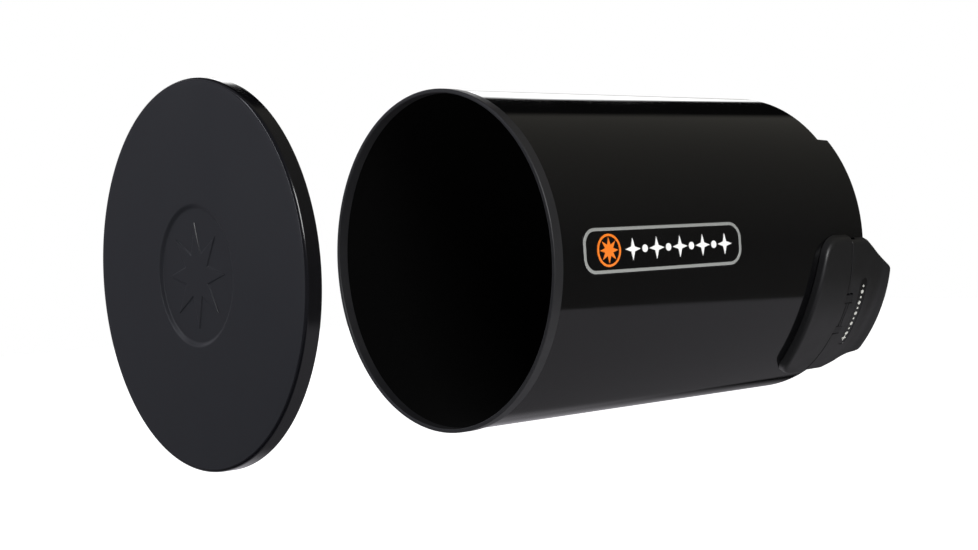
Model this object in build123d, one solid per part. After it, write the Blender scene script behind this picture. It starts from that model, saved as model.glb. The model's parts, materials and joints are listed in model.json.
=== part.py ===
"""Aluminium dew shield (lens shade) with a cover cap and a cam latch, for a Schmidt-Cassegrain telescope.

Frame: the optical axis is Y, and +Y points at the telescope. +Z is up. The origin is on the axis, in the
plane of the stop ring's rear face, where the telescope's front cell comes to rest. Millimetres.
The latch and the badge are drawn at +X, with X outwards, and are then turned round the axis to their places.
The cap is drawn where it lies when it is pulled off, straight in front of the open end.
"""
from build123d import *
from math import asin, cos, degrees, radians, sin
import os

# ---- driving sizes: shield tube -------------------------------------------------------------------
tube_outer_radius = 119.0
tube_wall = 1.2
tube_length = 327.0
seat_depth = 27.0            # from the stop plane to the rear edge
top_relief_depth = 11.5      # shallow step in the rear edge, round the top
top_relief_half_angle = 48.7
latch_relief_depth = 7.0     # step in the rear edge under the latch
trim_wall = 0.9
trim_leg = 6.9
trim_nose_round = 0.72
flock_thickness = 0.5
felt_thickness = 1.8         # fills the gap to the telescope's front cell
felt_margin = 1.0            # from the felt to the step in the rear edge
stop_lip = 4.0               # how far the stop ring reaches in past the felt
stop_flange = 2.5
stop_leg = 9.5
stop_leg_wall = 1.2

# ---- driving sizes: badge -------------------------------------------------------------------------
badge_angle = 1.0            # round the tube from +X towards +Z, degrees
badge_length = 158.0
badge_height = 32.0
badge_corner = 12.0
badge_from_front = 25.0
badge_thickness = 0.5
badge_relief = 0.4
border_width = 2.2
border_inset = 0.8
emblem_radius = 11.0
emblem_from_end = 24.0
mark_count = 9
mark_pitch = 11.6
mark_radius = 7.4
dot_radius = 2.6

# ---- driving sizes: latch -------------------------------------------------------------------------
latch_angle = -27.5
latch_height = 7.0           # from the tube's surface to the outside of the latch
plate_wall = 3.0
gasket_thickness = 0.6
gasket_inset = 0.5
base_half_width = 58.5
base_length = 37.0           # from the crease forwards
base_front_arc_radius = 180.0
base_corner = 18.0
base_edge_round = 2.4
crease_y = 4.3               # where the fixed base ends and the lever begins
crease_gap = 0.6
lever_side_step = 2.0        # the lever is this much narrower than the base, each side
lever_side_margin = 1.8      # the lever's straight sides end this far before the tube's edge
lip_half_width = 36.0
lip_overhang = 27.3          # the lip reaches this far past the tube's edge
lever_corner = 5.0
lever_skirt_depth = 2.6
lever_skirt_wall = 2.0
lever_opening = 80.0         # degrees from shut to open
tongue_half_width = 10.0
ear_gap = 0.4
ear_width = 6.0
ear_round = 3.3              # about the pin's centre, behind
ear_top_gap = 0.1            # from the ears' tops to the outside of the latch
ear_flat = 1.3               # the tops stay flat this far behind the pin's centre
crease_lip = 2.1             # the base's middle reaches this far over the hinge
crease_lip_thickness = 2.4
bracket_foot = 1.5           # thickness of the bracket's foot
bracket_margin = 1.1         # the foot is this much wider than the ears, each side
foot_reach = 5.0             # the foot reaches this far past the screws
pin_radius = 1.25
pin_depth = 3.0              # pin centre under the outside of the latch
pin_from_crease = 5.2
pin_clearance = 0.05
knuckle_radius = 2.6
slot_gap = 0.2               # behind the ears
clip_thickness = 0.6
clip_radius = 1.8
clip_room = 0.6              # beside each clip
cam_lift = 1.3               # travel of the shoe between shut and open
cam_clearance = 0.05
cam_flat = 3.2
pad_thickness = 1.15
pad_gap = 0.05
shoe_top_depth = 4.0         # shoe's top under the pin's centre, shut
shoe_side_gap = 0.3
shoe_front_gap = 0.5         # behind the crease
shoe_rear_margin = 3.0       # from the shoe to the tube's edge
pad_rear_margin = 0.3        # the pad ends just before the felt does
wing_thickness = 0.8
wing_inset = 1.5
rail_width = 3.3
rail_gap = 0.1
rail_front_gap = 0.3
rail_bottom_gap = 0.6
ledge_thickness = 0.6
ledge_gap = 0.5
spring_thickness = 0.25
spring_gap = 0.05
window_margin = 1.6          # beside the ears
window_from_crease = 1.8     # the opening starts this far before the crease
label_length = 58.0
label_width = 8.0
label_from_crease = 19.4
label_recess = 0.8
lever_hollow = 0.3           # how far the lever's back lies under the base's surface at the label
label_thickness = 0.4
label_fit_gap = 0.2
label_mark_count = 11
backing_thickness = 1.0
backing_half_angle = 25.0
backing_length = 14.0
screw_offsets = (-35.0, -13.5, 13.5, 35.0)
screw_from_crease = 25.3
screw_radius = 1.5
screw_head_radius = 2.8
screw_head_height = 1.6
socket_radius = 1.3
socket_depth = 0.9
shank_in_head = 0.5          # the shank starts inside the curved head
screw_tip_depth = 1.6
boss_radius = 4.0
hole_clearance = 0.1

# ---- driving sizes: cap ---------------------------------------------------------------------------
cap_felt_thickness = 0.6
cap_felt_clearance = 0.08
cap_felt_width = 5.5
cap_felt_from_edge = 0.6
cap_skirt_wall = 1.4
cap_face = 2.2
cap_depth = 10.5
cap_edge_round = 2.0
cap_seat_gap = 0.2
cap_travel = 190.0
medallion_radius = 44.7
medallion_depth = 1.6
medallion_slope = 3.4
medallion_star_radius = 33.0
medallion_relief = 0.5

# ---- sizes that follow: tube ----------------------------------------------------------------------
tube_inner_radius = tube_outer_radius - tube_wall
front_y = seat_depth - tube_length
trim_outer_radius = tube_outer_radius + trim_wall
trim_inner_radius = tube_inner_radius - trim_wall
nose_y = front_y - trim_wall
seat_radius = tube_inner_radius - felt_thickness
stop_radius = seat_radius - stop_lip
felt_length = seat_depth - top_relief_depth - felt_margin

# ---- sizes that follow: latch ---------------------------------------------------------------------
latch_radius = tube_outer_radius + latch_height
plate_inner_radius = latch_radius - plate_wall
base_bottom_radius = tube_outer_radius + gasket_thickness
base_front = crease_y - base_length
lever_front = crease_y + crease_gap
lever_half_width = base_half_width - lever_side_step
lever_side_end = seat_depth - lever_side_margin
lip_y = seat_depth + lip_overhang
pin_x = latch_radius - pin_depth
pin_y = crease_y + pin_from_crease
slot_end = pin_y + ear_round + slot_gap
ear_inner = tongue_half_width + ear_gap
ear_outer = ear_inner + ear_width
slot_half_width = ear_outer + clip_thickness + clip_room
bracket_half_width = ear_outer + bracket_margin
window_half_width = ear_outer + window_margin
window_front = crease_y - window_from_crease
shoe_top = pin_x - shoe_top_depth
pad_inner_radius = seat_radius + pad_gap
pad_outer_radius = pad_inner_radius + pad_thickness
shoe_half_width = tongue_half_width - shoe_side_gap
shoe_front = crease_y + shoe_front_gap
shoe_rear = seat_depth - shoe_rear_margin
pad_rear = felt_length - pad_rear_margin
rail_inner = ear_outer - rail_width
rail_front = window_front + rail_front_gap
wing_half_width = rail_inner - rail_gap
wing_front = slot_end + 0.2
wing_rear = shoe_rear - wing_inset
label_y = crease_y + label_from_crease
label_floor = latch_radius - lever_hollow - label_recess
screw_y = crease_y - screw_from_crease
screw_angles = [degrees(asin(offset / tube_outer_radius)) for offset in screw_offsets]
backing_front = screw_y - backing_length / 2
backing_rear = screw_y + backing_length / 2

# ---- sizes that follow: cap -----------------------------------------------------------------------
cap_inner_radius = trim_outer_radius + cap_felt_clearance + cap_felt_thickness
cap_radius = cap_inner_radius + cap_skirt_wall
cap_back = nose_y - cap_seat_gap - cap_travel      # inside of the face, pulled off
cap_front = cap_back - cap_face

overrun = 5.0                # cutters run this far past what they cut


# ---- helpers --------------------------------------------------------------------------------------
def ring(inner, outer, y_low, y_high):
    """A round wall about the Y axis."""
    height = y_high - y_low
    wall = Cylinder(outer, height) - Cylinder(inner, height)
    return Pos(0, (y_low + y_high) / 2, 0) * Rot(90, 0, 0) * wall


def drum(radius, y_low, y_high):
    """A solid disc about the Y axis."""
    return Pos(0, (y_low + y_high) / 2, 0) * Rot(90, 0, 0) * Cylinder(radius, y_high - y_low)


def block(x_range, y_range, z_range):
    """A box from its three ranges."""
    spans = [high - low for low, high in (x_range, y_range, z_range)]
    middle = [(high + low) / 2 for low, high in (x_range, y_range, z_range)]
    return Pos(*middle) * Box(*spans)


def prism(outline, x_low, x_high):
    """An outline drawn as (along Y, along Z), carried outwards along X."""
    return extrude(Plane.YZ.offset(x_low) * outline, amount=x_high - x_low)


def radial(outline):
    """The same, through the whole wall, for cutting curved skins."""
    return prism(outline, seat_radius * 0.7, latch_radius + overrun)


def around(angle, shape):
    """Turn a shape drawn at +X round the optical axis."""
    return Rot(0, -angle, 0) * shape


def both_sides(shape):
    """A shape and its mirror image across the latch's middle."""
    return shape + mirror(shape, about=Plane.XY)


def star(points, outer, inner):
    """A star outline with one point up the Z axis."""
    corners = []
    for i in range(2 * points):
        radius = inner if i % 2 else outer
        turn = radians(90 + 180 * i / points)
        corners.append((radius * cos(turn), radius * sin(turn)))
    return make_face(Polyline(*corners, close=True))


def sector(half_angle, middle, y_low, y_high):
    """A wedge about the Y axis, for cutting steps in the rear edge."""
    reach = 2 * latch_radius
    edge = (reach * cos(radians(half_angle)), reach * sin(radians(half_angle)))
    corners = [(0, 0), (edge[0], -edge[1]), (reach, -edge[1]), (reach, edge[1]), edge]
    wedge = make_face(Polyline(*corners, close=True))
    return around(middle, Pos(0, y_high, 0) * Rot(90, 0, 0) * extrude(wedge, amount=y_high - y_low))


def save(name, shape):
    """One STEP file for one node."""
    export_step(shape, f"parts/{name}.step")


# ---- shield tube and what is fixed in it ------------------------------------------------------------
def screw_at(angle, radius, low, high):
    """A round rod pointing outwards from the axis, at a screw's place."""
    rod = Pos((low + high) / 2, screw_y, 0) * Rot(0, 90, 0) * Cylinder(radius, high - low)
    return around(angle, rod)


def screw_rods(radius, low, high):
    """The same for every screw of the latch."""
    rods = [screw_at(latch_angle + angle, radius, low, high) for angle in screw_angles]
    return rods[0] + rods[1:]


def make_tube():
    """Rolled aluminium tube, with a step round the top of its rear edge and an opening for the latch."""
    past_end = seat_depth + overrun
    tube = ring(tube_inner_radius, tube_outer_radius, front_y, seat_depth)
    tube -= sector(top_relief_half_angle, 90, seat_depth - top_relief_depth, past_end)
    half_angle = degrees(asin(base_half_width / latch_radius))
    tube -= sector(half_angle, latch_angle, seat_depth - latch_relief_depth, past_end)
    half = window_half_width
    window = block((seat_radius - 2 * overrun, latch_radius), (window_front, past_end), (-half, half))
    tube -= around(latch_angle, window)
    return tube - screw_rods(screw_radius + hole_clearance, tube_inner_radius - overrun, latch_radius)


def make_trim():
    """Moulded U-shaped edging pushed over the front edge, round at its nose."""
    trim = ring(trim_inner_radius, trim_outer_radius, nose_y, front_y + trim_leg)
    trim -= ring(tube_inner_radius, tube_outer_radius, front_y, front_y + trim_leg)
    nose = trim.edges().filter_by(GeomType.CIRCLE).filter_by(lambda e: abs(e.center().Y - nose_y) < 0.01)
    return fillet(nose, trim_nose_round)


def make_stop_ring():
    """Ring of angle section that the telescope's front cell comes up against."""
    flange = ring(stop_radius, tube_inner_radius, -stop_flange, 0)
    leg = ring(tube_inner_radius - stop_leg_wall, tube_inner_radius, -stop_flange - stop_leg, -stop_flange)
    return flange + leg


def backing_zone(margin):
    """The room that the latch's backing plate takes inside the tube."""
    zone = sector(backing_half_angle, latch_angle, backing_front - margin, backing_rear + margin)
    return zone & drum(tube_inner_radius, backing_front - margin, backing_rear + margin)


def make_backing_plate():
    """Curved steel strip inside the tube that spreads the pull of the latch's screws."""
    plate = backing_zone(0) - drum(tube_inner_radius - backing_thickness, backing_front, backing_rear)
    return plate - screw_rods(screw_radius + hole_clearance, stop_radius, latch_radius)


def make_flock():
    """Black flocked lining, from the front edging back to the stop ring."""
    rear = -stop_flange - stop_leg
    lining = ring(tube_inner_radius - flock_thickness, tube_inner_radius, front_y + trim_leg, rear)
    margin = 0.5
    return lining - sector(backing_half_angle + margin, latch_angle, backing_front - margin, seat_depth)


def make_seat_felt():
    """Felt band that fills the gap to the telescope's front cell, open at the latch."""
    felt = ring(seat_radius, tube_inner_radius, 0, felt_length)
    half = window_half_width + 0.5
    gap = block((seat_radius - 2 * overrun, latch_radius), (-overrun, seat_depth), (-half, half))
    return felt - around(latch_angle, gap)


# ---- badge ------------------------------------------------------------------------------------------
badge_middle = front_y + badge_from_front + badge_length / 2
badge_top = tube_outer_radius + badge_thickness


def badge_outline(inset):
    """The badge's rounded outline, drawn in by an inset."""
    size = (badge_length - 2 * inset, badge_height - 2 * inset)
    return Pos(badge_middle, 0) * RectangleRounded(*size, badge_corner - inset)


def on_badge(outline):
    """Raise an outline from the badge's face."""
    skin = ring(badge_top, badge_top + badge_relief, front_y, seat_depth)
    return around(badge_angle, skin & radial(outline))


def make_badge_plate():
    """Thin plate bonded to the tube."""
    skin = ring(tube_outer_radius, badge_top, front_y, seat_depth)
    return around(badge_angle, skin & radial(badge_outline(0)))


def make_badge_border():
    """Bright line round the plate."""
    return on_badge(badge_outline(border_inset) - badge_outline(border_inset + border_width))


def make_badge_emblem():
    """A plain eight-pointed star inside a thin ring."""
    place = Pos(badge_middle - badge_length / 2 + emblem_from_end, 0)
    rim = Circle(emblem_radius) - Circle(emblem_radius * 0.86)
    return on_badge(place * star(8, emblem_radius * 0.78, emblem_radius * 0.36)) + on_badge(place * rim)


def make_badge_marks():
    """A row of four-pointed stars with dots between them."""
    start = badge_middle - badge_length / 2 + emblem_from_end + emblem_radius + mark_pitch
    marks = []
    for i in range(mark_count):
        shape = Circle(dot_radius) if i % 2 else star(4, mark_radius, mark_radius * 0.32)
        marks.append(on_badge(Pos(start + i * mark_pitch, 0) * shape))
    return marks[0] + marks[1:]


# ---- latch: fixed parts -----------------------------------------------------------------------------
def base_outline(inset):
    """Half-moon outline of the base: straight at the crease, a long arc in front, round corners."""
    half = base_half_width
    sag = base_front_arc_radius - (base_front_arc_radius**2 - half**2) ** 0.5
    corner = base_front + sag
    edges = [
        Line((crease_y, half), (corner, half)),
        ThreePointArc((corner, half), (base_front, 0), (corner, -half)),
        Line((corner, -half), (crease_y, -half)),
        Line((crease_y, -half), (crease_y, half)),
    ]
    face = make_face(edges)
    front = face.vertices().filter_by(lambda v: v.X < crease_y - 1)
    face = fillet(front, base_corner)
    return offset(face, -inset, kind=Kind.INTERSECTION) if inset else face


def make_ears():
    """The two ears that hold the hinge pin, and the rails under them that guide the shoe."""
    wall_y = crease_y - plate_wall / 2
    rail_y = pin_y + knuckle_radius
    span = (ear_inner, ear_outer)
    foot_x = base_bottom_radius + 0.2
    ear = block((foot_x, pin_x), (wall_y, rail_y), span)
    top = block((pin_x, latch_radius), (wall_y, pin_y + ear_flat), span)
    top += Pos(pin_x, pin_y, sum(span) / 2) * Cylinder(ear_round, ear_width)
    ear += top & drum(latch_radius - ear_top_gap, wall_y, pin_y + ear_round)
    rail_span = (rail_inner, ear_outer)
    rail_low = seat_radius + rail_bottom_gap
    ear += block((rail_low, foot_x), (rail_front, wing_rear + 0.5), rail_span)
    ledge_span = (shoe_half_width + ledge_gap, rail_span[0])
    ear += block((rail_low, rail_low + ledge_thickness), (wing_front, wing_rear), ledge_span)
    ear -= Pos(pin_x, pin_y, sum(span) / 2) * Cylinder(pin_radius, ear_width)
    return both_sides(ear)


def make_bracket():
    """Hinge bracket: a curved foot under the base, held by the two middle screws, with the ears on it."""
    half = bracket_half_width
    foot = ring(tube_outer_radius, tube_outer_radius + bracket_foot, screw_y - foot_reach, crease_y)
    foot &= block((stop_radius, latch_radius), (base_front, crease_y), (-half, half))
    bracket = around(latch_angle, foot + make_ears())
    return bracket - screw_rods(screw_radius + hole_clearance, seat_radius, latch_radius)


def make_base():
    """Moulded base: a hollow half-moon shell with screw bosses, let in for the hinge bracket."""
    front = base_front - overrun
    shell = ring(base_bottom_radius, latch_radius, front, crease_y) & radial(base_outline(0))
    outside = shell.edges().filter_by(lambda e: is_outer_edge(e, latch_radius, crease_y - 0.1))
    shell = fillet(outside, base_edge_round)
    hollow = ring(base_bottom_radius, plate_inner_radius, front, crease_y)
    shell -= hollow & radial(base_outline(plate_wall))
    boss_top = plate_inner_radius + 0.5
    for angle in screw_angles:
        boss = Pos((tube_outer_radius + boss_top) / 2, screw_y, 0) * Rot(0, 90, 0)
        boss *= Cylinder(boss_radius, boss_top - tube_outer_radius)
        shell += around(angle, boss) - drum(tube_outer_radius, front, crease_y)
    lip_y_range = (crease_y - plate_wall, crease_y + crease_lip)
    lip = ring(latch_radius - crease_lip_thickness, latch_radius, *lip_y_range)
    half = tongue_half_width
    lip &= block((seat_radius, latch_radius), lip_y_range, (-half, half))
    base = around(latch_angle, shell + lip) - make_bracket()
    return base - screw_rods(screw_radius, seat_radius, latch_radius - screw_tip_depth)


def is_outer_edge(edge, radius, y_limit):
    """True for an edge that lies on the outside of the latch, away from the crease."""
    middle = edge.position_at(0.5)
    return abs((middle.X**2 + middle.Z**2) ** 0.5 - radius) < 0.05 and middle.Y < y_limit


def make_gasket():
    """Thin rubber frame between the base and the tube."""
    frame = ring(tube_outer_radius, base_bottom_radius, base_front, crease_y)
    frame &= radial(base_outline(gasket_inset) - base_outline(plate_wall))
    half = bracket_half_width
    keep_out = block((seat_radius, latch_radius), (screw_y, seat_depth), (-half, half))
    return around(latch_angle, frame - keep_out)


def make_screws():
    """Pan-head screws from inside the tube into the base's bosses."""
    seat = tube_inner_radius - backing_thickness
    shank = screw_rods(screw_radius, seat - shank_in_head, latch_radius - screw_tip_depth)
    heads = screw_rods(screw_head_radius, seat - screw_head_height, seat)
    heads &= drum(seat, backing_front, backing_rear)
    socket = Rot(0, 90, 0) * extrude(RegularPolygon(socket_radius, 6), amount=socket_depth)
    for angle in screw_angles:
        heads -= around(latch_angle + angle, Pos(seat - screw_head_height, screw_y, 0) * socket)
    return shank + heads


def at_pin(shape):
    """Put a shape drawn about Z on the hinge pin's line, and turn it to the latch's place."""
    return around(latch_angle, Pos(pin_x, pin_y, 0) * shape)


def make_pin():
    """Steel hinge pin."""
    return at_pin(Cylinder(pin_radius, 2 * (ear_outer + clip_thickness + 0.2)))


def make_clips():
    """A retaining ring on each end of the pin."""
    middle = ear_outer + clip_thickness / 2
    clip = Cylinder(clip_radius, clip_thickness) - Cylinder(pin_radius, clip_thickness)
    return at_pin(both_sides(Pos(0, 0, middle) * clip))


# ---- latch: lever -----------------------------------------------------------------------------------
def lever_outline(inset):
    """Outline of the lever: wide at the crease, cut off slantwise to the lip."""
    corners = [
        (lever_front, -lever_half_width),
        (lever_side_end, -lever_half_width),
        (lip_y, -lip_half_width),
        (lip_y, lip_half_width),
        (lever_side_end, lever_half_width),
        (lever_front, lever_half_width),
    ]
    face = make_face(Polyline(*corners, close=True))
    rear = face.vertices().filter_by(lambda v: v.X > lever_front + 1)
    face = fillet(rear, lever_corner)
    return offset(face, -inset, kind=Kind.INTERSECTION) if inset else face


def lever_blank():
    """The lever's curved plate: a slightly hollow back that turns up into the finger lip."""
    outside = [(lip_y, 0.4), (lip_y - 2.3, 0.9), (lip_y - 7.3, -1.0)]
    outside += [(lip_y - 12.3, -1.4), (lip_y - 24.3, -0.4), (lever_front, 0)]
    inside = [(lever_front, 0), (lip_y - 24.3, -0.3), (lip_y - 9.3, -0.8), (lip_y - 3.3, 0.8), (lip_y, 1.8)]
    profile = [(latch_radius + rise, y) for y, rise in outside]
    profile += [(plate_inner_radius + rise, y) for y, rise in inside]
    return revolve(make_face(Polyline(*profile, close=True)), Axis.Y)


def cam_outline():
    """Cam that lifts a flat follower in step with its turn, about the pin's centre, as (X, Y).

    The cam's support distance falls evenly from shut to open, so a point of the outline is the support
    distance along the follower's direction, plus its rate of change along the direction across it.
    """
    rate = cam_lift / radians(lever_opening)
    shut = shoe_top_depth - cam_clearance
    steps = 8
    curve = []
    for i in range(steps + 1):
        turn = radians(lever_opening) * i / steps
        support = shut - rate * turn
        x = -support * cos(turn) - rate * sin(turn)
        y = -support * sin(turn) + rate * cos(turn)
        curve.append((x, y))
    face = [Spline(*curve), Polyline(curve[-1], (0, 0), (0, cam_flat), (-shut, cam_flat), curve[0])]
    return make_face(face)


def make_tongue():
    """The lever's middle: the knuckle on the pin, with the cam under it."""
    width = 2 * tongue_half_width
    tongue = Cylinder(knuckle_radius, width)
    tongue += Pos(0, 0, -tongue_half_width) * extrude(cam_outline(), amount=width)
    tongue = Pos(pin_x, pin_y, 0) * tongue
    half = tongue_half_width
    tongue += block((pin_x - knuckle_radius, latch_radius), (pin_y, slot_end + 1), (-half, half))
    return tongue & drum(latch_radius - 0.1, lever_front, slot_end + 1)


def make_lever():
    """Moulded lever: curved plate with side walls, a tongue on the pin and a recess for the label."""
    outline = lever_outline(0)
    lever = lever_blank() & radial(outline)
    skirt = ring(plate_inner_radius - lever_skirt_depth, plate_inner_radius + 0.5, slot_end, lip_y - 9.3)
    lever += skirt & radial(outline - lever_outline(lever_skirt_wall))
    slot_x = (seat_radius, latch_radius + overrun)
    lever -= block(slot_x, (lever_front - 1, slot_end), (-slot_half_width, slot_half_width))
    lever += make_tongue()
    bore = Cylinder(pin_radius + pin_clearance, 3 * tongue_half_width)
    lever -= Pos(pin_x, pin_y, 0) * bore
    lever -= ring(label_floor, latch_radius + overrun, lever_front, lip_y) & radial(label_outline(0))
    return around(latch_angle, lever)


def label_outline(inset):
    """Long round-ended window for the label."""
    return Pos(label_y, 0) * Rot(0, 0, 90) * SlotOverall(label_length - 2 * inset, label_width - 2 * inset)


def make_label():
    """Label strip lying in the lever's recess."""
    strip = ring(label_floor, label_floor + label_thickness, lever_front, lip_y)
    strip &= radial(label_outline(label_fit_gap))
    return around(latch_angle, strip)


def make_label_marks():
    """A row of small bright dots and one star on the label."""
    low = label_floor + label_thickness
    skin = ring(low, low + 0.2, lever_front, lip_y)
    pitch = (label_length - label_width) / label_mark_count
    marks = []
    for i in range(label_mark_count):
        shape = star(4, 2.9, 1.0) if i == 0 else Circle(1.5 if i % 2 else 0.9)
        place = -(label_length - label_width - pitch) / 2 + i * pitch
        marks.append(around(latch_angle, skin & radial(Pos(label_y, place) * shape)))
    return marks[0] + marks[1:]


# ---- latch: clamp shoe ------------------------------------------------------------------------------
def make_shoe():
    """The shoe that the cam presses inwards, with a wing on each side for its return spring."""
    half = shoe_half_width
    shoe = block((seat_radius, shoe_top), (shoe_front, shoe_rear), (-half, half))
    shoe -= drum(pad_outer_radius, shoe_front - 1, shoe_rear + 1)
    wings = (shoe_top - wing_thickness, shoe_top)
    shoe += block(wings, (wing_front, wing_rear), (-wing_half_width, wing_half_width))
    return around(latch_angle, shoe)


def make_pad():
    """Rubber pad under the shoe, curved to the telescope's front cell."""
    half = shoe_half_width
    pad = ring(pad_inner_radius, pad_outer_radius, shoe_front, pad_rear)
    pad &= block((stop_radius, latch_radius), (shoe_front, pad_rear), (-half, half))
    return around(latch_angle, pad)


def make_springs():
    """Two bowed strips of spring steel between the base's ledges and the shoe's wings."""
    low = seat_radius + rail_bottom_gap + ledge_thickness + spring_gap
    high = shoe_top - wing_thickness - spring_gap
    front = wing_front + 0.5
    rear = wing_rear - 0.5
    middle = (front + rear) / 2
    under = ThreePointArc((low, front), (high - spring_thickness, middle), (low, rear))
    over = ThreePointArc((low + spring_thickness, front), (high, middle), (low + spring_thickness, rear))
    ends = [Line(under @ 0, over @ 0), Line(under @ 1, over @ 1)]
    width = wing_half_width - shoe_half_width - ledge_gap - 0.3
    strip = extrude(make_face([under, over] + ends), amount=width)
    start = shoe_half_width + ledge_gap + 0.1
    return around(latch_angle, both_sides(Pos(0, 0, start) * strip))


# ---- cap --------------------------------------------------------------------------------------------
def make_cap():
    """Moulded cap: a flat face with a round edge, a shallow medallion and a skirt over the front edge."""
    shell = drum(cap_radius, cap_front, cap_front + cap_depth)
    corner = shell.edges().filter_by(GeomType.CIRCLE).filter_by(lambda e: e.center().Y < cap_front + 0.1)
    shell = fillet(corner, cap_edge_round)
    shell -= drum(cap_inner_radius, cap_back, cap_front + cap_depth)
    floor = cap_front + medallion_depth
    back = Pos(0, (cap_back + floor + cap_face) / 2, 0) * Rot(90, 0, 0)
    back *= Cylinder(medallion_radius + 1, floor + cap_face - cap_back)
    shell += back
    slope = Pos(0, (cap_front + floor) / 2, 0) * Rot(90, 0, 0)
    slope *= Cone(medallion_radius - medallion_slope, medallion_radius, medallion_depth)
    shell -= slope
    outline = star(8, medallion_star_radius, medallion_star_radius * 0.42)
    return shell + extrude(Plane.XZ.offset(-floor - 0.2) * outline, amount=medallion_relief + 0.2)


def make_cap_felt():
    """Felt band inside the skirt, which grips the front edging."""
    rear = cap_front + cap_depth - cap_felt_from_edge
    return ring(cap_inner_radius - cap_felt_thickness, cap_inner_radius, rear - cap_felt_width, rear)


# ---- write every node -------------------------------------------------------------------------------
os.makedirs("parts", exist_ok=True)
nodes = {
    "shield_tube": make_tube,
    "front_edge_trim": make_trim,
    "stop_ring": make_stop_ring,
    "flock_lining": make_flock,
    "seat_felt": make_seat_felt,
    "badge_plate": make_badge_plate,
    "badge_border": make_badge_border,
    "badge_emblem": make_badge_emblem,
    "badge_marks": make_badge_marks,
    "latch_base": make_base,
    "hinge_bracket": make_bracket,
    "latch_gasket": make_gasket,
    "latch_backing_plate": make_backing_plate,
    "latch_screws": make_screws,
    "hinge_pin": make_pin,
    "pin_clips": make_clips,
    "latch_lever": make_lever,
    "lever_label": make_label,
    "lever_label_marks": make_label_marks,
    "clamp_shoe": make_shoe,
    "shoe_pad": make_pad,
    "return_springs": make_springs,
    "cap_shell": make_cap,
    "cap_felt": make_cap_felt,
}
for node, make in nodes.items():
    save(node, make())
    print("wrote", node)
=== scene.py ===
# %% [markdown]
# # A dew shield with its cap pulled off
# The object is a rolled aluminium tube that slips over the front of a telescope, a moulded cap that closes
# its open end, and a cam latch that clamps it. The working parts come in as a fixed frame of solids, in
# metres, with the optical axis along Y. Here the surfaces that the eye reads are made again as fine
# meshes, worked out from formulas, and each gets the finish of the real material.

import json
import math

import bmesh
import bpy
import numpy as np
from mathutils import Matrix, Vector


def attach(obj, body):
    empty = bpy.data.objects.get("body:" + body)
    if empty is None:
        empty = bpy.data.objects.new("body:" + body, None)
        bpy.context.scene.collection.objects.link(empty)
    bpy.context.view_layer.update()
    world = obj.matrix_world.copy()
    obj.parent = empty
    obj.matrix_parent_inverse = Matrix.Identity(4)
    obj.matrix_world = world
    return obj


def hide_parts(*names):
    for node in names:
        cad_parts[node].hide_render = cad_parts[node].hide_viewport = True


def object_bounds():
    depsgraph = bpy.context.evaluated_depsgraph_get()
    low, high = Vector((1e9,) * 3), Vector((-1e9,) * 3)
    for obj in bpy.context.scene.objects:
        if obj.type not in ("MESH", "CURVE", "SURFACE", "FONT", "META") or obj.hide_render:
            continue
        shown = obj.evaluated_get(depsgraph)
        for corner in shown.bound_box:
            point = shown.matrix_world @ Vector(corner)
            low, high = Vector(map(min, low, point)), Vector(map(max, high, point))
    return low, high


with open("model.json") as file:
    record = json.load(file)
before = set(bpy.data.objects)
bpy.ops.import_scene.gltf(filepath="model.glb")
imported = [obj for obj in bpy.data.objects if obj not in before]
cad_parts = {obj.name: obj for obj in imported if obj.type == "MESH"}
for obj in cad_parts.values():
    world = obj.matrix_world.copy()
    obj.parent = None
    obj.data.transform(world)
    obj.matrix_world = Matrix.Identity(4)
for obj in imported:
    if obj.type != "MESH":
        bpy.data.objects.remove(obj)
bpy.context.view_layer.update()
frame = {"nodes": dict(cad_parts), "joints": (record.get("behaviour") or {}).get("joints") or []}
MM = 0.001

# %% [markdown]
# ## Sizes from the frame
# Every piece has to land on the solid that it stands for. So its sizes are not typed in again: they are
# read from the solid's own corners, as distances from the optical axis and places along it.

# %% Measure the solids
def spans(node):
    """Nearest and furthest distance from the Y axis, and lowest and highest Y, of a solid's corners."""
    corners = np.array([v.co for v in frame["nodes"][node].data.vertices])
    away = np.hypot(corners[:, 0], corners[:, 2])
    return away.min(), away.max(), corners[:, 1].min(), corners[:, 1].max()


TUBE_IN, TUBE_OUT, TUBE_FRONT, TUBE_REAR = spans("shield_tube")
hinge = next(j for j in frame["joints"] if j["name"] == "lever_hinge")
LATCH_TURN = math.atan2(hinge["axis"][0], -hinge["axis"][2])
PIN_Y = hinge["pos_m"][1]
print("tube:", round(2000 * TUBE_OUT, 1), "mm across")
print("latch at", round(math.degrees(LATCH_TURN), 1), "degrees")

# %% [markdown]
# ## From a grid to a mesh
# Each surface is an array of points in rows and columns. Neighbouring points make four-sided faces. A
# closed surface is welded where its edges meet, and its faces are then turned outwards. Edges sharper
# than a given angle stay sharp, and the rest is shaded smoothly.

# %% Mesh helpers
def quads(rows, columns, wrap_rows=False, wrap_columns=False):
    """Corner numbers of the faces between neighbouring points, numbered row by row."""
    i = np.arange(rows if wrap_rows else rows - 1)[:, None]
    j = np.arange(columns if wrap_columns else columns - 1)[None, :]
    below, right = (i + 1) % rows, (j + 1) % columns
    corners = [i * columns + j, below * columns + j, below * columns + right, i * columns + right]
    return np.stack(np.broadcast_arrays(*corners), axis=-1).reshape(-1, 4)


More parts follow.
